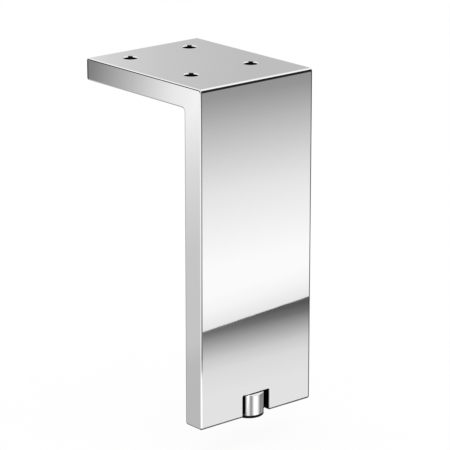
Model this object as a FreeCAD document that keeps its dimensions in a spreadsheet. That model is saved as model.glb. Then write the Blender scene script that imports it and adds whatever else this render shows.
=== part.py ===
import FreeCAD, Part
import os
import Sketcher

# Adjustable cabinet leg: a solid L-shaped bracket, which is a plate standing under a flange, and a small
# screw foot in a notch in the plate's lower end. All lengths are in millimetres.
# Model frame: x runs across the leg, y from the front face towards the flange's tip, and z up.
# The origin is the middle of the four screw holes, on the flange's top face.

SIZES = {
    # Bracket
    "leg_width": 60,  # across the front face
    "leg_depth": 75,  # from the front face to the flange's tip
    "bracket_height": 145,  # from the flange's top face to the plate's lower end
    "plate_thickness": 10.5,
    "flange_thickness": 9.5,
    "bend_round": 1.45,  # radius where the front face turns into the top face
    "inside_round": 1.5,  # radius in the corner between the plate and the flange
    "end_round": 1,  # radius along the flange's tip and the plate's lower end
    "edge_round": 0.65,  # radius along the bracket's sides and round the notch
    # Screw holes through the flange
    "hole_spacing_across": 32,
    "front_to_holes": 23,  # from the front face to the front row of holes
    "tip_to_holes": 12,  # from the flange's tip to the rear row of holes
    "hole_width": 6,
    "hole_lip": 0.4,  # chamfer at the top of each hole
    "screw_head_width": 10,  # width of the countersink under the flange
    # Foot barrel
    "barrel_width": 13.2,
    "barrel_height": 9.5,
    "barrel_chamfer": 0.3,
    # Notch around the barrel
    "notch_side_gap": 0.6,  # between the barrel and each side of the notch
    "notch_top_gap": 0.2,  # above the barrel when the foot is screwed right in
    "notch_corner": 0.5,  # radius in the notch's upper corners
    # Threaded stud and its bore
    "thread_width": 6,  # nominal width of the thread and of the bore that it runs in
    "thread_gap": 0.05,  # between the stud and the bore
    "stud_length": 30,
    "stud_chamfer": 0.6,
    "stud_seat": 4.5,  # length of the stud inside the barrel
    "seat_gap": 0.02,  # around the stud in its seat
    "bore_spare": 1,  # above the stud when the foot is screwed right in
    "bore_mouth": 0.5,  # chamfer at the bore's mouth
    "drill_point": 1.8,  # height of the cone that ends the bore
    # Glide pad
    "pad_thickness": 1,
    "pad_step": 0.1,  # how far the pad's edge lies inside the barrel's
    "pad_chamfer": 0.25,
    "peg_width": 5,
    "peg_length": 3,
    "peg_chamfer": 0.4,
    "bead_rise": 1.6,  # from the pad's top face to the middle of the snap bead
    "bead_height": 0.8,
    "bead_stand": 0.3,  # how far the bead stands out from the peg
    "swivel_gap": 0.08,  # around the peg and its bead
    "peg_spare": 0.3,  # above the peg
}

SELECTION_ROOM = 0.01

doc = FreeCAD.newDocument("cabinet_leg")
sheet = doc.addObject("Spreadsheet::Sheet", "size")
for row, (name, value) in enumerate(SIZES.items(), start=1):
    sheet.set(f"A{row}", name)
    sheet.set(f"B{row}", str(value))
    sheet.setAlias(f"B{row}", name)
doc.recompute()

# Places and sizes that several pieces share, as expressions
FRONT_FACE = "-(size.leg_depth + size.front_to_holes - size.tip_to_holes) / 2"
FOOT_AXIS = f"({FRONT_FACE} + size.plate_thickness / 2)"
LOWER_END = "-size.bracket_height"
NOTCH_TOP = f"({LOWER_END} + size.barrel_height + size.notch_top_gap)"
NOTCH_SIDE = "(size.barrel_width / 2 + size.notch_side_gap)"
STUD_RADIUS = "(size.thread_width / 2 - size.thread_gap)"
PEG_RADIUS = "size.peg_width / 2"


def evaluate(expression):
    return float(sheet.evalExpression(expression))


def new_body(label, back, up):
    """An empty body whose own origin stands at two expressions in the model frame."""
    body = doc.addObject("PartDesign::Body", label)
    body.Label = label
    body.setExpression("Placement.Base.y", back)
    body.setExpression("Placement.Base.z", up)
    return body


def new_sketch(body, name, role):
    """An empty sketch on one of the body's own origin planes."""
    sketch = body.newObject("Sketcher::SketchObject", name)
    plane = next(item for item in body.Origin.OriginFeatures if item.Role == role)
    sketch.AttachmentSupport = (plane, [""])
    sketch.MapMode = "FlatFace"
    return sketch


def constrain(sketch, expression, *constraint):
    """Add a constraint whose value follows an expression."""
    index = sketch.addConstraint(Sketcher.Constraint(*constraint, evaluate(expression)))
    sketch.setExpression(f"Constraints[{index}]", expression)


def place_point(sketch, item, point, across, up):
    """Hold one point of a sketch at two expressions, measured from the sketch's origin."""
    constrain(sketch, across, "DistanceX", -1, 1, item, point)
    constrain(sketch, up, "DistanceY", -1, 1, item, point)


def draw_outline(sketch, corners):
    """Draw a closed outline of straight lines, each corner a pair of expressions."""
    places = [FreeCAD.Vector(evaluate(across), evaluate(up), 0) for across, up in corners]
    ends = zip(places, places[1:] + places[:1])
    lines = [sketch.addGeometry(Part.LineSegment(start, end)) for start, end in ends]
    for line, following in zip(lines, lines[1:] + lines[:1]):
        sketch.addConstraint(Sketcher.Constraint("Coincident", line, 2, following, 1))
    for line, (across, up) in zip(lines, corners):
        place_point(sketch, line, 1, across, up)
    doc.recompute()


def draw_circle(sketch, across, up, radius):
    """Draw a circle whose centre and radius are expressions."""
    centre = FreeCAD.Vector(evaluate(across), evaluate(up), 0)
    circle = sketch.addGeometry(Part.Circle(centre, FreeCAD.Vector(0, 0, 1), evaluate(radius)))
    place_point(sketch, circle, 3, across, up)
    constrain(sketch, radius, "Radius", circle)


def cut(body, kind, sketch, settings):
    """Cut a sketch out of the body's solid, and stop if that takes nothing away."""
    before = body.Tip.Shape.Volume
    feature = body.newObject(kind, f"{sketch.Name}_cut")
    feature.Profile = sketch
    for setting, choice in settings.items():
        setattr(feature, setting, choice)
    doc.recompute()
    if feature.Shape.Volume >= before:
        raise RuntimeError(f"{feature.Name} cuts nothing")


def turned_body(label, up, corners):
    """A body turned about the foot's axis from half of its section."""
    body = new_body(label, FOOT_AXIS, up)
    sketch = new_sketch(body, f"{label}_section", "XZ_Plane")
    draw_outline(sketch, corners)
    solid = body.newObject("PartDesign::Revolution", f"{label}_turned")
    solid.Profile = sketch
    solid.ReferenceAxis = (sketch, ["V_Axis"])
    solid.Angle = 360
    doc.recompute()
    return body


def edges_between(body, low, high):
    """Names of the edges that lie wholly between two corners, in the body's own frame."""
    box = FreeCAD.BoundBox(*low, *high)
    box.enlarge(SELECTION_ROOM)
    edges = enumerate(body.Tip.Shape.Edges, start=1)
    return [f"Edge{number}" for number, edge in edges if box.isInside(edge.BoundBox)]


def soften(body, kind, name, edges, measure, expression):
    """Round or chamfer edges of the body's solid by an expression."""
    base = body.Tip
    feature = body.newObject(kind, name)
    feature.Base = (base, edges)
    feature.setExpression(measure, expression)
    doc.recompute()


# Bracket. Its own frame has y at the front face and z at the flange's top face.


def pad_profile(body):
    """The L-shaped side profile, as wide as the leg."""
    sketch = new_sketch(body, "side_profile", "YZ_Plane")
    tip = "size.leg_depth"
    flange_under = "-size.flange_thickness"
    plate_back = "size.plate_thickness"
    corners = [
        ("0", "0"),
        (tip, "0"),
        (tip, flange_under),
        (plate_back, flange_under),
        (plate_back, LOWER_END),
        ("0", LOWER_END),
    ]
    draw_outline(sketch, corners)
    solid = body.newObject("PartDesign::Pad", "side_profile_padded")
    solid.Profile = sketch
    solid.SideType = "Symmetric"
    solid.setExpression("Length", "size.leg_width")
    doc.recompute()


def edges_across(body, back, up):
    """Names of the edges that run across the leg at one corner of the side profile."""
    half = sheet.leg_width / 2
    return edges_between(body, (-half, back, up), (half, back, up))


def round_profile(body):
    """Round the corners of the side profile."""
    under = -sheet.flange_thickness
    plate = sheet.plate_thickness
    bottom = -sheet.bracket_height
    bend = edges_across(body, 0, 0)
    soften(body, "PartDesign::Fillet", "bend", bend, "Radius", "size.bend_round")
    inside = edges_across(body, plate, under)
    soften(body, "PartDesign::Fillet", "inside_corner", inside, "Radius", "size.inside_round")
    ends = []
    for back, up in [(sheet.leg_depth, 0), (sheet.leg_depth, under), (plate, bottom), (0, bottom)]:
        ends += edges_across(body, back, up)
    soften(body, "PartDesign::Fillet", "ends", ends, "Radius", "size.end_round")


def cut_notch(body):
    """The notch round the barrel, open at the plate's lower end."""
    sketch = new_sketch(body, "notch", "XZ_Plane")
    below = f"{LOWER_END} - size.end_round"
    left = f"-{NOTCH_SIDE}"
    draw_outline(sketch, [(left, below), (NOTCH_SIDE, below), (NOTCH_SIDE, NOTCH_TOP), (left, NOTCH_TOP)])
    cut(body, "PartDesign::Pocket", sketch, {"Type": "ThroughAll"})
    top = evaluate(NOTCH_TOP)
    corners = []
    for side in (-evaluate(NOTCH_SIDE), evaluate(NOTCH_SIDE)):
        corners += edges_between(body, (side, 0, top), (side, sheet.plate_thickness, top))
    soften(body, "PartDesign::Fillet", "notch_corners", corners, "Radius", "size.notch_corner")


def round_outlines(body):
    """Round both side outlines of the bracket, and the outline of the notch."""
    side = sheet.leg_width / 2
    notch = evaluate(NOTCH_SIDE)
    top = evaluate(NOTCH_TOP)
    bottom = -sheet.bracket_height
    plate = sheet.plate_thickness
    front = sheet.end_round
    back = plate - sheet.end_round
    spans = [
        ((-side, 0, bottom), (-side, sheet.leg_depth, 0)),
        ((side, 0, bottom), (side, sheet.leg_depth, 0)),
        ((-notch, 0, bottom), (notch, front, top)),
        ((-notch, front, bottom), (notch, back, bottom)),
        ((-notch, back, bottom), (notch, plate, top)),
    ]
    edges = [edge for low, high in spans for edge in edges_between(body, low, high)]
    soften(body, "PartDesign::Fillet", "outlines", edges, "Radius", "size.edge_round")


def hole_rims(body, centres, height):
    """Names of the screw holes' round edges at one height."""
    radius = sheet.hole_width / 2
    rims = []
    for across, back in centres:
        x = evaluate(across)
        y = evaluate(back)
        rims += edges_between(body, (x - radius, y - radius, height), (x + radius, y + radius, height))
    return rims


def drill_screw_holes(body):
    """Four screw holes through the flange, each with a lip above and a countersink below."""
    sketch = new_sketch(body, "screw_holes", "XY_Plane")
    half = "size.hole_spacing_across / 2"
    rows = ["size.front_to_holes", "size.leg_depth - size.tip_to_holes"]
    centres = [(sign + half, row) for sign in ("-", "+") for row in rows]
    for across, back in centres:
        draw_circle(sketch, across, back, "size.hole_width / 2")
    cut(body, "PartDesign::Pocket", sketch, {"Type": "ThroughAll"})
    upper = hole_rims(body, centres, 0)
    soften(body, "PartDesign::Chamfer", "lips", upper, "Size", "size.hole_lip")
    lower = hole_rims(body, centres, -sheet.flange_thickness)
    sink = "(size.screw_head_width - size.hole_width) / 2"
    soften(body, "PartDesign::Chamfer", "countersinks", lower, "Size", sink)


def drill_stud_bore(body):
    """The blind threaded bore above the notch, drawn plain at the thread's nominal width."""
    sketch = new_sketch(body, "stud_bore", "XZ_Plane")
    sketch.setExpression("AttachmentOffset.Base.z", "-size.plate_thickness / 2")
    radius = "size.thread_width / 2"
    stud_reach = "size.stud_length - size.stud_seat - size.notch_top_gap"
    bore_end = f"{NOTCH_TOP} + {stud_reach} + size.bore_spare"
    corners = [
        ("0", NOTCH_TOP),
        (f"{radius} + size.bore_mouth", NOTCH_TOP),
        (radius, f"{NOTCH_TOP} + size.bore_mouth"),
        (radius, bore_end),
        ("0", f"{bore_end} + size.drill_point"),
    ]
    draw_outline(sketch, corners)
    settings = {"ReferenceAxis": (sketch, ["V_Axis"]), "Angle": 360}
    cut(body, "PartDesign::Groove", sketch, settings)


def make_bracket():
    body = new_body("leg_bracket", FRONT_FACE, "0")
    pad_profile(body)
    round_profile(body)
    cut_notch(body)
    round_outlines(body)
    drill_screw_holes(body)
    drill_stud_bore(body)
    return body


# Foot. The barrel carries the stud in its upper end, and the glide pad's peg snaps into its lower end.


def make_barrel():
    """Its own frame has z at the barrel's lower face."""
    outside = "size.barrel_width / 2"
    top = "size.barrel_height"
    chamfer = "size.barrel_chamfer"
    seat = f"{STUD_RADIUS} + size.seat_gap"
    seat_floor = f"{top} - size.stud_seat"
    recess = f"{PEG_RADIUS} + size.swivel_gap"
    recess_end = "size.peg_length + size.peg_spare"
    groove_half = "(size.bead_height / 2 + size.swivel_gap)"
    corners = [
        ("0", recess_end),
        (recess, recess_end),
        (recess, f"size.bead_rise + {groove_half}"),
        (f"{recess} + size.bead_stand", "size.bead_rise"),
        (recess, f"size.bead_rise - {groove_half}"),
        (recess, "0"),
        (f"{outside} - {chamfer}", "0"),
        (outside, chamfer),
        (outside, f"{top} - {chamfer}"),
        (f"{outside} - {chamfer}", top),
        (seat, top),
        (seat, seat_floor),
        ("0", seat_floor),
    ]
    return turned_body("foot_barrel", LOWER_END, corners)


def make_stud():
    """Its own frame has z at the stud's lower end. It is drawn plain, without its thread."""
    chamfer = "size.stud_chamfer"
    end = f"{STUD_RADIUS} - {chamfer}"
    corners = [
        ("0", "0"),
        (end, "0"),
        (STUD_RADIUS, chamfer),
        (STUD_RADIUS, f"size.stud_length - {chamfer}"),
        (end, "size.stud_length"),
        ("0", "size.stud_length"),
    ]
    return turned_body("threaded_stud", f"{LOWER_END} + size.barrel_height - size.stud_seat", corners)


def make_glide_pad():
    """Its own frame has z at the pad's upper face, which the barrel stands on."""
    edge = "size.barrel_width / 2 - size.pad_step"
    under = "-size.pad_thickness"
    bead_half = "size.bead_height / 2"
    corners = [
        ("0", "size.peg_length"),
        (f"{PEG_RADIUS} - size.peg_chamfer", "size.peg_length"),
        (PEG_RADIUS, "size.peg_length - size.peg_chamfer"),
        (PEG_RADIUS, f"size.bead_rise + {bead_half}"),
        (f"{PEG_RADIUS} + size.bead_stand", "size.bead_rise"),
        (PEG_RADIUS, f"size.bead_rise - {bead_half}"),
        (PEG_RADIUS, "0"),
        (f"{edge} - size.pad_chamfer", "0"),
        (edge, "-size.pad_chamfer"),
        (edge, f"{under} + size.pad_chamfer"),
        (f"{edge} - size.pad_chamfer", under),
        ("0", under),
    ]
    return turned_body("glide_pad", LOWER_END, corners)


def check(bodies):
    """Stop if anything in the document failed, or a body is not one sound solid."""
    for item in doc.Objects:
        if "Invalid" in item.State or "Error" in item.State:
            raise RuntimeError(f"{item.Label} is {item.State}")
    for body in bodies:
        shape = body.Shape
        if shape.isNull() or not shape.isValid() or len(shape.Solids) != 1:
            raise RuntimeError(f"{body.Label} is not one sound solid")


pieces = [make_bracket(), make_barrel(), make_stud(), make_glide_pad()]
doc.recompute()
check(pieces)
os.makedirs("parts", exist_ok=True)
for piece in pieces:
    piece.Shape.exportStep(f"parts/{piece.Label}.step")
    print(f"{piece.Label}: {piece.Shape.Volume:.1f} cubic millimetres")
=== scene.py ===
"""Looks of the adjustable cabinet leg: a mirror-chrome bracket on a turned steel foot, in a white
studio."""

import math

import bmesh
import bpy
from mathutils import Matrix, Vector


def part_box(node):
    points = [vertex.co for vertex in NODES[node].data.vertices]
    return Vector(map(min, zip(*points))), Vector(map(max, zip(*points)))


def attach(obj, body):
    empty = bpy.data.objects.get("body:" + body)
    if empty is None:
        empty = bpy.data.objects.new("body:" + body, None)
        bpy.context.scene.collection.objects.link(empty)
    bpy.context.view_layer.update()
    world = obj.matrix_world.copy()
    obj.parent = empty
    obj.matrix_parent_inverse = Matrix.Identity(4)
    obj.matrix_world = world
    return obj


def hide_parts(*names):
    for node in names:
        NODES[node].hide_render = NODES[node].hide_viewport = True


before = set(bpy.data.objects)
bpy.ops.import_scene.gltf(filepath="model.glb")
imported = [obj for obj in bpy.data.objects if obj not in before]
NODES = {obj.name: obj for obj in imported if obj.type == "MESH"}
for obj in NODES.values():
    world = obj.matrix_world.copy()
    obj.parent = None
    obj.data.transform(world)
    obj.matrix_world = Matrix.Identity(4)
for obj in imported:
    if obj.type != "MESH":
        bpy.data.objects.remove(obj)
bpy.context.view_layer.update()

# The leg as packed, in metres. X runs across the leg, Y back from the front face to the flange's
# tip, and Z up, with 0 at the flange's top face.
STUD_LOW, STUD_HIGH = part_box("threaded_stud")
PAD_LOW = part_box("glide_pad")[0]
X, Y, Z = range(3)

# Camera, at the photograph's angle
CAMERA_TARGET = Vector((0.00883, -0.01202, -0.07062))
CAMERA_AZIMUTH = 319.787
CAMERA_ELEVATION = 16.79
CAMERA_DISTANCE = 1.0859
CAMERA_LENS = 205.04

# Floor
FOOT_TRAVEL = 0.010
FLOOR_ROOM = 0.001  # between the floor and the foot screwed right out
FLOOR_SIZE = 12.0
FLOOR_HEIGHT = PAD_LOW.z - FOOT_TRAVEL - FLOOR_ROOM
FLOOR_SHADOW = 0.12  # how much of the studio's shadows the floor shows

# Studio boards
SECTOR_STEP = 6  # degrees between the corners of a round board
SMALLEST_REACH = 0.001  # of a board's stops, for a board of one grey
NEAR_SIDE = -0.03  # the plate's corner next to the camera
NEAR_START = -0.043
FOOT_START = -0.0378  # the foot's axis
FRONT_TURN = 184.0  # the way out from the front face, a little to the right
FRONT_WIDTH = 1.2
WALL_AZIMUTHS = (-50, 40, 130, 220)
WALL_DISTANCE = 1.5
CARD_DISTANCE = 1.3
CEILING_HEIGHT = 1.2
CEILING_START = 0.12
TOP_CARD_HEIGHT = 2.04

# In the materials below, a noise is its waves a metre and its detail, and a roughness is its
# lowest and its highest value.

# Chrome
CHROME_SHADE = 0.92
# painted glint: the rounded edges' base colour, brighter than the flat faces'
ROUNDING_PAINTED_GLINT = 1.0
FLAT_FACING = 0.9985  # on a rounding, no part of the surface's normal is larger
CHROME_HAZE = (45.0, 3.0)
CHROME_ROUGHNESS = (0.012, 0.035)
CHROME_WAVE = (160.0, 1.0)
CHROME_WAVE_DEPTH = 0.000002

# Recesses of the bracket, darkened by painted shade, and rougher
# painted shade: base colour inside the notch and the screw holes
RECESS_PAINTED_SHADE = 0.02
RECESS_ROUGHNESS = 0.4
NOTCH_SIDE = 0.00725
NOTCH_TOP = -0.13525
HOLE_ACROSS = 0.016  # half of the holes' spacing
HOLE_ALONG = 0.020
HOLE_RADIUS = 0.0031
HOLE_LIP = 0.0004  # the bright lip ends this far below the top face
HOLE_RIM = 0.0039  # the rounded rim ends this far from the axis

# Painted dark reflections on the bracket's rounded edges, by where the surface is and which way it
# faces
LINE_START = 0.03  # an edge starts where its surface is turned by this much
LINE_TOP = -0.001  # the upright lines stay below this height
LINE_NEAR_DEPTH = 0.82
LIT_SIDE = -0.50  # the near edge is lit where it faces further left than this
LIT_SLOPE = 2.4  # how fast that place moves to the left on the way down
LIT_LOW = -0.122  # the near edge is all lit below this height
LIT_LOW_END = -0.113
STRIP_RIGHT = 0.02915  # where the strips beside the right edge and the tip start
STRIP_TIP = 0.0308
STRIP_FACING = 0.9
UPPER_SIDE = 0.84
BEND_FRONT = -0.77
PLATE_LOW = -0.1435  # the plate's lower edges are below this height
PLATE_LOW_DEPTH = 0.9
FLANGE_LOW = -0.00955  # the flange's lower edges are above this height
FLANGE_LOW_DEPTH = 0.5

# Barrel of turned steel, with painted shade where it faces the notch's sides
BARREL_SHADE = 0.95
BARREL_PAINTED_SHADE = 0.04
BARREL_SIDE = 0.0046
BARREL_SIDE_END = 0.0052
BARREL_HAZE = (900.0, 2.0)
BARREL_ROUGHNESS = (0.05, 0.08)
RING_SCALE = 1600.0
RING_DISTORTION = 0.6
RING_DEPTH = 0.0000004

# Stud of rolled steel
STUD_PATCHES = (700.0, 4.0)
STUD_TONES = ((0.35, 0.52), (0.7, 0.66))
STUD_ROUGHNESS = (0.22, 0.38)
STUD_PATCH_DEPTH = 0.00001

# Pad of black plastic
PAD_SPECULAR = 0.12
PAD_GRAIN = (4200.0, 3.0)
PAD_TONES = ((0.3, 0.002), (0.75, 0.005))
PAD_ROUGHNESS = (0.42, 0.62)
PAD_GRAIN_DEPTH = 0.00002

# Thread, M6 rolled
THREAD_PITCH = 0.001
THREAD_DEPTH = 0.00061
THREAD_STEPS = 32
THREAD_END = 0.0006
THREAD_MERGE = 0.000002
# Share of a pitch, and share of the thread's depth there
THREAD_SHAPE = (
    (0.0, 0.0), (0.12, 0.0), (0.30, 0.5), (0.46, 0.94),
    (0.53, 1.0), (0.60, 0.94), (0.78, 0.5), (0.94, 0.04),
)


def linear(grey):
    """A grey of 0 to 255, as seen on a screen, as a linear value."""
    share = grey / 255
    return share / 12.92 if share <= 0.04045 else ((share + 0.055) / 1.055) ** 2.4


class Finish:
    """A material with an empty node tree, and short ways to fill it."""

    def __init__(self, name):
        self.material = bpy.data.materials.new(name)
        self.material.use_nodes = True
        self.nodes = self.material.node_tree.nodes
        self.links = self.material.node_tree.links
        self.nodes.clear()

    def add(self, kind, inputs=None, operation=None):
        """A new node. Each input, by its name or number, is a value or another node's output."""
        node = self.nodes.new(kind)
        if operation:
            node.operation = operation
        for key, value in (inputs or {}).items():
            if isinstance(value, bpy.types.NodeSocket):
                self.links.new(value, node.inputs[key])
            else:
                node.inputs[key].default_value = value
        return node

    def end(self, shader):
        """The material, with that shader on its surface."""
        self.add("ShaderNodeOutputMaterial", {"Surface": shader})
        return self.material

    def end_principled(self, inputs):
        """The material, with a Principled shader of those inputs on its surface."""
        return self.end(self.add("ShaderNodeBsdfPrincipled", inputs).outputs["BSDF"])

    def point(self):
        """Place of the surface's point on the part."""
        return self.add("ShaderNodeTexCoord").outputs["Object"]

    def facing(self):
        """Direction that the surface faces, as its normal on the part."""
        return self.add("ShaderNodeTexCoord").outputs["Normal"]

    def split(self, vector):
        """The three parts of a vector."""
        return self.add("ShaderNodeSeparateXYZ", {"Vector": vector}).outputs[:]

    def length(self, vector):
        """Length of a vector."""
        node = self.add("ShaderNodeVectorMath", {0: vector}, operation="LENGTH")
        return node.outputs["Value"]

    def math(self, operation, *values):
        """Result of an operation on numbers and other nodes' outputs."""
        node = self.add("ShaderNodeMath", dict(enumerate(values)), operation=operation)
        return node.outputs["Value"]

    def size(self, value):
        """A value without its sign."""
        return self.math("ABSOLUTE", value)

    def above(self, value, limit):
        """1 where a value is above a limit, and 0 elsewhere."""
        return self.math("GREATER_THAN", value, limit)

    def below(self, value, limit):
        """1 where a value is below a limit, and 0 elsewhere."""
        return self.math("LESS_THAN", value, limit)

    def product(self, first, *others):
        """Product of two values or more, such as what several masks share."""
        for value in others:
            first = self.math("MULTIPLY", first, value)
        return first

    def largest(self, first, *others):
        """Largest of two values or more, such as what any of several masks covers."""
        for value in others:
            first = self.math("MAXIMUM", first, value)
        return first

    def remap(self, value, start, end, low=0.0, high=1.0):
        """Turns a value between start and end into one between low and high."""
        ends = {"From Min": start, "From Max": end, "To Min": low, "To Max": high}
        return self.add("ShaderNodeMapRange", {"Value": value, **ends}).outputs["Result"]

    def spread(self, value, low, high):
        """Turns a value of 0 to 1 into one between low and high."""
        return self.remap(value, 0.0, 1.0, low, high)

    def noise(self, scale, detail):
        """Noise over the part."""
        inputs = {"Vector": self.point(), "Scale": scale, "Detail": detail}
        return self.add("ShaderNodeTexNoise", inputs).outputs["Fac"]

    def ramp(self, value, stops):
        """A grey that runs through (place, grey) stops, with each place from 0 to 1."""
        node = self.add("ShaderNodeValToRGB", {"Fac": value})
        elements = node.color_ramp.elements
        while len(elements) < len(stops):
            elements.new(0.5)
        while len(elements) > len(stops):
            elements.remove(elements[-1])
        for element, (place, grey) in zip(elements, stops):
            element.position = place
            element.color = (grey, grey, grey, 1)
        return node.outputs["Color"]

    def bump(self, height, depth):
        """Normal of a surface with bumps of that depth in metres."""
        inputs = {"Height": height, "Distance": depth}
        return self.add("ShaderNodeBump", inputs).outputs["Normal"]


def hole_distance(finish, point):
    """Distance from the nearest screw hole's axis."""
    from_row = finish.math("SUBTRACT", finish.size(point[X]), HOLE_ACROSS)
    from_pair = finish.math("SUBTRACT", finish.size(point[Y]), HOLE_ALONG)
    offset = finish.add("ShaderNodeCombineXYZ", {"X": from_row, "Y": from_pair})
    return finish.length(offset.outputs["Vector"])


def recesses(finish, point, from_hole):
    """1 inside the notch and the screw holes, which get painted shade, and 0 on the polished faces.
    """
    between_sides = finish.below(finish.size(point[X]), NOTCH_SIDE)
    in_notch = finish.product(between_sides, finish.below(point[Z], NOTCH_TOP))
    under_lip = finish.below(point[Z], -HOLE_LIP)
    in_hole = finish.product(finish.below(from_hole, HOLE_RADIUS), under_lip)
    return finish.largest(in_notch, in_hole)


def painted_upright_lines(finish, point, facing, sideways):
    """The painted dark reflections on the upright edges. The edge next to the camera is lit on its
    left, and low down, and is left unpainted there."""
    tilt = finish.math("MINIMUM", sideways, finish.size(facing[Y]))
    lit_side = finish.math("MULTIPLY_ADD", point[Z], LIT_SLOPE, LIT_SIDE)
    right_of_light = finish.above(facing[X], lit_side)
    above_light = finish.remap(point[Z], LIT_LOW, LIT_LOW_END)
    near_edge = finish.product(right_of_light, above_light, LINE_NEAR_DEPTH)
    other_edges = finish.largest(finish.above(facing[Y], 0.0), finish.above(facing[X], 0.0))
    return finish.product(finish.above(tilt, LINE_START), finish.largest(near_edge, other_edges))


def painted_edge_strips(finish, point, facing, sideways):
    """1 on the strips of the flat faces beside the plate's right edge and the flange's tip, which
    widen the painted dark reflections of those edges.
    """
    on_front = finish.below(facing[Y], -STRIP_FACING)
    on_side = finish.above(sideways, STRIP_FACING)
    right_strip = finish.product(finish.above(point[X], STRIP_RIGHT), on_front)
    tip_strip = finish.product(finish.above(point[Y], STRIP_TIP), on_side)
    return finish.largest(right_strip, tip_strip)


def painted_upper_lines(finish, facing, outward, from_hole):
    """Painted dark reflection: 1 on the lower half of the bend and of the top face's other edges,
    but not in the holes.
    """
    on_bend = finish.below(facing[Y], BEND_FRONT)
    lower_half = finish.largest(on_bend, finish.above(outward, UPPER_SIDE))
    upward = finish.above(facing[Z], LINE_START)
    return finish.product(lower_half, upward, finish.above(from_hole, HOLE_RIM))


def painted_lower_lines(finish, point, facing, outward):
    """The painted shade on the plate's and the flange's lower edges."""
    on_plate = finish.below(point[Z], PLATE_LOW)
    on_flange = finish.above(point[Z], FLANGE_LOW)
    off_flat = finish.above(outward, LINE_START)
    depth = finish.largest(
        finish.product(on_plate, PLATE_LOW_DEPTH),
        finish.product(on_flange, off_flat, FLANGE_LOW_DEPTH),
    )
    return finish.product(depth, finish.below(facing[Z], -LINE_START))


def painted_edge_lines(finish, point, from_hole):
    """The painted dark reflections along the rounded edges, and 0 on the flat faces."""
    facing = finish.split(finish.facing())
    sideways = finish.size(facing[X])
    outward = finish.largest(sideways, facing[Y])
    upright = finish.largest(
        painted_upright_lines(finish, point, facing, sideways),
        painted_edge_strips(finish, point, facing, sideways),
    )
    return finish.largest(
        finish.product(upright, finish.below(point[Z], LINE_TOP)),
        painted_upper_lines(finish, facing, outward, from_hole),
        painted_lower_lines(finish, point, facing, outward),
    )


def roundings(finish):
    """1 where the surface turns between the flat faces, and 0 on them."""
    sizes = [finish.size(part) for part in finish.split(finish.facing())]
    return finish.below(finish.largest(*sizes), FLAT_FACING)


def chrome():
    """Polished chrome plate: a clear mirror with a faint haze and a faint wave in the plating, with
    painted shade in its recesses, painted dark reflections along its edges and painted glints on
    its roundings.
    """
    finish = Finish("polished_chrome")
    point = finish.split(finish.point())
    from_hole = hole_distance(finish, point)
    recess = recesses(finish, point, from_hole)
    # painted shade in the recesses and painted dark reflections along the edges, in the base colour
    dark = finish.largest(recess, painted_edge_lines(finish, point, from_hole))
    # painted glint: the roundings get a brighter base colour than the flat faces
    painted_glint = finish.spread(roundings(finish), CHROME_SHADE, ROUNDING_PAINTED_GLINT)
    polish = finish.spread(finish.noise(*CHROME_HAZE), *CHROME_ROUGHNESS)
    return finish.end_principled({
        "Metallic": 1.0,
        "Base Color": finish.product(painted_glint, finish.spread(dark, 1.0, RECESS_PAINTED_SHADE)),
        "Roughness": finish.largest(polish, finish.product(recess, RECESS_ROUGHNESS)),
        "Normal": finish.bump(finish.noise(*CHROME_WAVE), CHROME_WAVE_DEPTH),
    })


def turned_steel():
    """Bright turned steel, with the tool's fine rings round its axis, and painted shade on the
    sides that face the notch.
    """
    finish = Finish("turned_steel")
    point = finish.point()
    from_axis = finish.size(finish.split(point)[X])
    # painted shade: the barrel's sides that face the notch are darker in the base colour
    shade = finish.remap(from_axis, BARREL_SIDE, BARREL_SIDE_END, BARREL_SHADE, BARREL_PAINTED_SHADE)
    rings = finish.add(
        "ShaderNodeTexWave", {"Vector": point, "Scale": RING_SCALE, "Distortion": RING_DISTORTION}
    )
    rings.bands_direction = "Z"
    return finish.end_principled({
        "Metallic": 1.0,
        "Base Color": shade,
        "Roughness": finish.spread(finish.noise(*BARREL_HAZE), *BARREL_ROUGHNESS),
        "Normal": finish.bump(rings.outputs["Fac"], RING_DEPTH),
    })


def rolled_steel():
    """The stud's rolled, bright-zinc thread."""
    finish = Finish("rolled_steel")
    patches = finish.noise(*STUD_PATCHES)
    return finish.end_principled({
        "Metallic": 1.0,
        "Base Color": finish.ramp(patches, STUD_TONES),
        "Roughness": finish.spread(patches, *STUD_ROUGHNESS),
        "Normal": finish.bump(patches, STUD_PATCH_DEPTH),
    })


def moulded_plastic():
    """Black moulded plastic with a fine eroded grain."""
    finish = Finish("moulded_plastic")
    grain = finish.noise(*PAD_GRAIN)
    return finish.end_principled({
        "Specular IOR Level": PAD_SPECULAR,
        "Base Color": finish.ramp(grain, PAD_TONES),
        "Roughness": finish.spread(grain, *PAD_ROUGHNESS),
        "Normal": finish.bump(grain, PAD_GRAIN_DEPTH),
    })


def thread_ring(mesh, low, high, turn, share, depth):
    """One turn of vertices along the thread, at that share of its pitch and of its depth. The
    stud's chamfers cut it back near the ends."""
    axis = (low + high) / 2
    crest = (high.x - low.x) / 2
    ring = []
    for step in range(THREAD_STEPS + 1):
        rise = (turn + share + step / THREAD_STEPS) * THREAD_PITCH
        z = min(max(low.z + rise, low.z), high.z)
        chamfer = crest - THREAD_END + min(z - low.z, high.z - z)
        radius = min(crest - THREAD_DEPTH * (1 - depth), chamfer)
        angle = step / THREAD_STEPS * math.tau
        x = axis.x + radius * math.cos(angle)
        y = axis.y + radius * math.sin(angle)
        ring.append(mesh.verts.new((x, y, z)))
    return ring


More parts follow.
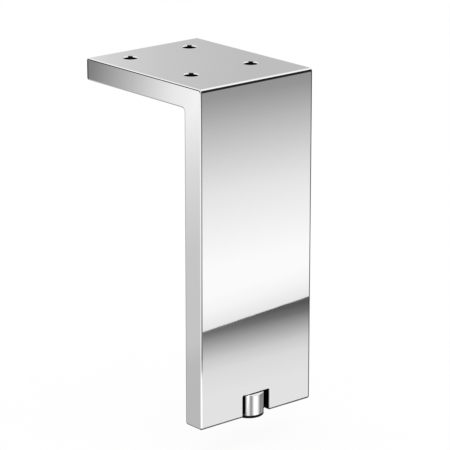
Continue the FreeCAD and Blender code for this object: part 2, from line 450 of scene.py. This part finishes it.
def make_thread(name, low, high):
    """A right-handed screw thread that fills the box of the plain stud."""
    turns = math.ceil((high.z - low.z) / THREAD_PITCH) + 1
    mesh = bmesh.new()
    rings = [
        thread_ring(mesh, low, high, turn, share, depth)
        for turn in range(-1, turns)
        for share, depth in THREAD_SHAPE
    ]
    for lower, upper in zip(rings, rings[1:]):
        for step in range(THREAD_STEPS):
            mesh.faces.new((lower[step], lower[step + 1], upper[step + 1], upper[step]))
    bmesh.ops.remove_doubles(mesh, verts=mesh.verts, dist=THREAD_MERGE)
    bmesh.ops.dissolve_degenerate(mesh, edges=mesh.edges, dist=THREAD_MERGE)
    bmesh.ops.holes_fill(mesh, edges=mesh.edges)
    bmesh.ops.recalc_face_normals(mesh, faces=mesh.faces)
    data = bpy.data.meshes.new(name)
    mesh.to_mesh(data)
    mesh.free()
    thread = bpy.data.objects.new(name, data)
    bpy.context.collection.objects.link(thread)
    return thread


def strip(width, depth):
    """Outline of a straight board that starts at its own origin and runs along its own Y."""
    return (-width / 2, 0), (width / 2, 0), (width / 2, depth), (-width / 2, depth)


def square(reach):
    """Outline of a square board round its own origin."""
    return (-reach, -reach), (reach, -reach), (reach, reach), (-reach, reach)


def sector(first, last, inner, outer):
    """Outline of a part of a ring, between two azimuths in degrees, counted from the back towards
    the right."""
    count = max(2, round((last - first) / SECTOR_STEP) + 1)
    turns = [math.radians(first + (last - first) * step / (count - 1)) for step in range(count)]
    near = [(inner * math.sin(turn), inner * math.cos(turn)) for turn in turns]
    far = [(outer * math.sin(turn), outer * math.cos(turn)) for turn in reversed(turns)]
    return near + far


def turned(degrees, axis):
    """Matrix of a turn about an axis."""
    return Matrix.Rotation(math.radians(degrees), 4, axis)


def lying(lift, side=0.0, start=0.0, turn=0.0):
    """Matrix of a board that lies on the floor and runs outwards from start, turn degrees left of
    the back. side is how far its middle is to the right of the leg."""
    on_floor = Matrix.Translation((0, 0, FLOOR_HEIGHT + lift))
    return on_floor @ turned(turn, "Z") @ Matrix.Translation((side, start, 0))


def standing(azimuth, distance, side=0.0, height=0.0, along="up"):
    """Matrix of an upright board that faces the leg from azimuth degrees, counted from the back
    towards the right. It runs up from height, or across to the right from side."""
    place = turned(-azimuth, "Z") @ Matrix.Translation((side, distance, height))
    upright = place @ turned(90, "X")
    return upright if along == "up" else upright @ turned(-90, "Z")


def board_light(name, stops, round_origin):
    """Light that runs through (distance, grey) stops along the board's own Y, or outwards round
    its origin."""
    finish = Finish(name)
    reach = max(stops[-1][0], SMALLEST_REACH)
    point = finish.point()
    distance_out = finish.length(point) if round_origin else finish.split(point)[Y]
    colour = finish.ramp(
        finish.math("DIVIDE", distance_out, reach),
        [(distance / reach, linear(grey) / CHROME_SHADE) for distance, grey in stops],
    )
    return finish.end(finish.add("ShaderNodeEmission", {"Color": colour}).outputs["Emission"])


def make_board(name, matrix, outline, stops, round_origin=False):
    """A studio board that shows only in the metal. Its greys are those that flat chrome shows."""
    data = bpy.data.meshes.new(name)
    data.from_pydata([(x, y, 0) for x, y in outline], [], [range(len(outline))])
    data.materials.append(board_light(name, stops, round_origin))
    board = bpy.data.objects.new(name, data)
    board.matrix_world = matrix
    bpy.context.collection.objects.link(board)
    board.visible_camera = False
    board.visible_diffuse = False
    board.visible_transmission = False
    board.visible_shadow = False


def make_ground_boards():
    """Boards on the floor round the leg and to its left, from the lowest up."""
    make_board(
        "floor_sheet", lying(0.0001), square(3.0),
        ((0.0, 225), (0.1, 235), (0.2, 228), (0.35, 204), (0.5, 172), (0.8, 130), (3.0, 90)),
        round_origin=True,
    )
    make_board("floor_card", lying(0.0002, start=-0.16), strip(0.24, 0.24), ((0.0, 216),))
    make_board(
        "left_sheet", lying(0.00025, side=-0.25, start=-0.05), strip(0.4, 0.53),
        ((0.0, 182), (0.096, 185), (0.12, 195), (0.232, 198),
         (0.346, 216), (0.454, 239), (0.51, 244), (0.53, 200)),
    )


def make_front_boards():
    """Boards on the floor before the front face, from the lowest up. On the way out, they are light
    to dark, a step, and light to dark again."""
    make_board(
        "front_step", lying(0.0004, start=0.06, turn=FRONT_TURN), strip(FRONT_WIDTH, 0.16),
        ((0.0, 226), (0.035, 226), (0.062, 218), (0.075, 202),
         (0.09, 165), (0.105, 112), (0.115, 86), (0.16, 60)),
    )
    make_board(
        "front_sheet", lying(0.0006, start=0.1554, turn=174.1), strip(FRONT_WIDTH, 0.2),
        ((0.0, 230), (0.018, 244), (0.035, 250)),
    )
    make_board(
        "far_sheet", lying(0.0007, start=0.2295, turn=FRONT_TURN), strip(FRONT_WIDTH, 0.88),
        ((0.0, 250), (0.015, 250), (0.126, 228), (0.237, 186),
         (0.307, 150), (0.41, 128), (0.88, 127)),
    )


def make_edge_boards():
    """Boards on the floor for the near edge, the flange's side and the barrel, from the lowest
    up."""
    make_board(
        "near_light", lying(0.00085, side=NEAR_SIDE, start=NEAR_START),
        sector(272, 310, 0.005, 0.8), ((0.0, 236),), round_origin=True,
    )
    make_board(
        "corner_light", lying(0.0009, side=NEAR_SIDE, start=NEAR_START),
        sector(185, 310, 0.005, 0.1), ((0.0, 254), (0.07, 252), (0.1, 236)), round_origin=True,
    )
    make_board(
        "tip_sheet", lying(0.00095, side=-0.642, start=-0.0439, turn=-50.0), strip(0.16, 0.09),
        ((0.0, 242), (0.016, 231), (0.042, 188), (0.07, 131), (0.09, 110)),
    )
    make_board(
        "barrel_sheet", lying(0.001, start=FOOT_START), sector(78, 114, 0.026, 0.068),
        ((0.0, 125),),
    )


def make_walls():
    """Walls right round the leg."""
    for azimuth in WALL_AZIMUTHS:
        make_board(
            f"wall_{azimuth}", standing(azimuth, WALL_DISTANCE, height=FLOOR_HEIGHT),
            strip(3.0, 2.2),
            ((0.0, 250), (0.38, 250), (0.46, 180), (0.62, 195), (0.8, 222), (1.1, 232), (2.2, 232)),
        )


def make_upright_cards():
    """Cards in front of the walls, and a small one in front of the barrel."""
    make_board(
        "back_card", standing(40.0, 1.2, side=-0.15, height=0.35, along="across"),
        strip(1.1, 1.1),
        ((0.0, 245), (0.04, 222), (0.065, 208), (0.115, 196), (0.19, 188), (0.35, 188), (1.1, 170)),
    )
    make_board("back_left_card", standing(5.0, CARD_DISTANCE), strip(0.9, 0.7), ((0.0, 205),))
    make_board(
        "left_card", standing(-90.0, CARD_DISTANCE, height=0.1), strip(0.9, 0.6), ((0.0, 200),)
    )
    make_board(
        "near_card", standing(183.0, CARD_DISTANCE, height=0.1), strip(0.7, 0.6), ((0.0, 190),)
    )
    make_board(
        "foot_card", standing(180.0, 0.0453, side=-0.0053, height=-0.1467, along="across"),
        strip(0.0202, 0.0106),
        ((0.0, 118), (0.0027, 130), (0.0039, 168), (0.0055, 251),
         (0.0074, 254), (0.0086, 160), (0.0092, 147), (0.0106, 165)),
    )


def make_overhead_boards():
    """A dark ceiling towards the camera, and a light card above everything."""
    above_leg = Matrix.Translation((0, 0, CEILING_HEIGHT)) @ turned(CAMERA_AZIMUTH - 180, "Z")
    ceiling = above_leg @ Matrix.Translation((0, CEILING_START, 0))
    make_board("ceiling", ceiling, strip(0.95, 0.30), ((0.0, 15),))
    make_board(
        "top_card", Matrix.Translation((0, 0, TOP_CARD_HEIGHT)), square(1.5), ((0.0, 226),)
    )


def make_floor():
    """A white floor that keeps the leg's shadow."""
    bpy.ops.mesh.primitive_plane_add(size=FLOOR_SIZE, location=(0, 0, FLOOR_HEIGHT))
    floor = bpy.context.object
    floor.name = "floor"
    finish = Finish("white_floor")
    ray = finish.add("ShaderNodeLightPath").outputs
    seen = finish.largest(ray["Is Camera Ray"], ray["Is Glossy Ray"], ray["Is Transmission Ray"])
    matt = finish.add("ShaderNodeBsdfDiffuse", {"Color": (1, 1, 1, 1)}).outputs["BSDF"]
    white = finish.add("ShaderNodeEmission").outputs["Emission"]
    mixed = {"Fac": finish.product(seen, 1 - FLOOR_SHADOW), 1: matt, 2: white}
    floor.data.materials.append(
        finish.end(finish.add("ShaderNodeMixShader", mixed).outputs["Shader"])
    )


def make_world():
    """An even white studio."""
    world = bpy.data.worlds.new("studio")
    world.use_nodes = True
    world.node_tree.nodes["Background"].inputs["Color"].default_value = (1, 1, 1, 1)
    bpy.context.scene.world = world


def make_camera():
    """The photograph's camera."""
    azimuth = math.radians(CAMERA_AZIMUTH)
    elevation = math.radians(CAMERA_ELEVATION)
    level = math.cos(elevation)
    back = Vector((math.sin(azimuth) * level, -math.cos(azimuth) * level, math.sin(elevation)))
    data = bpy.data.cameras.new("camera")
    data.lens = CAMERA_LENS
    camera = bpy.data.objects.new("camera", data)
    camera.location = CAMERA_TARGET + back * CAMERA_DISTANCE
    camera.rotation_euler = (-back).to_track_quat("-Z", "Y").to_euler()
    bpy.context.collection.objects.link(camera)
    bpy.context.scene.camera = camera


# Finishes of the CAD's own pieces
for node, material in (
    ("leg_bracket", chrome()),
    ("foot_barrel", turned_steel()),
    ("glide_pad", moulded_plastic()),
):
    NODES[node].material_slots[0].material = material

# The stud's real thread
thread = make_thread("stud_thread", STUD_LOW, STUD_HIGH)
thread.data.materials.append(rolled_steel())
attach(thread, "adjusting_screw")
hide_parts("threaded_stud")

# Studio
make_world()
make_floor()
make_ground_boards()
make_front_boards()
make_edge_boards()
make_walls()
make_upright_cards()
make_overhead_boards()
make_camera()
bpy.context.scene.view_settings.view_transform = "Standard"
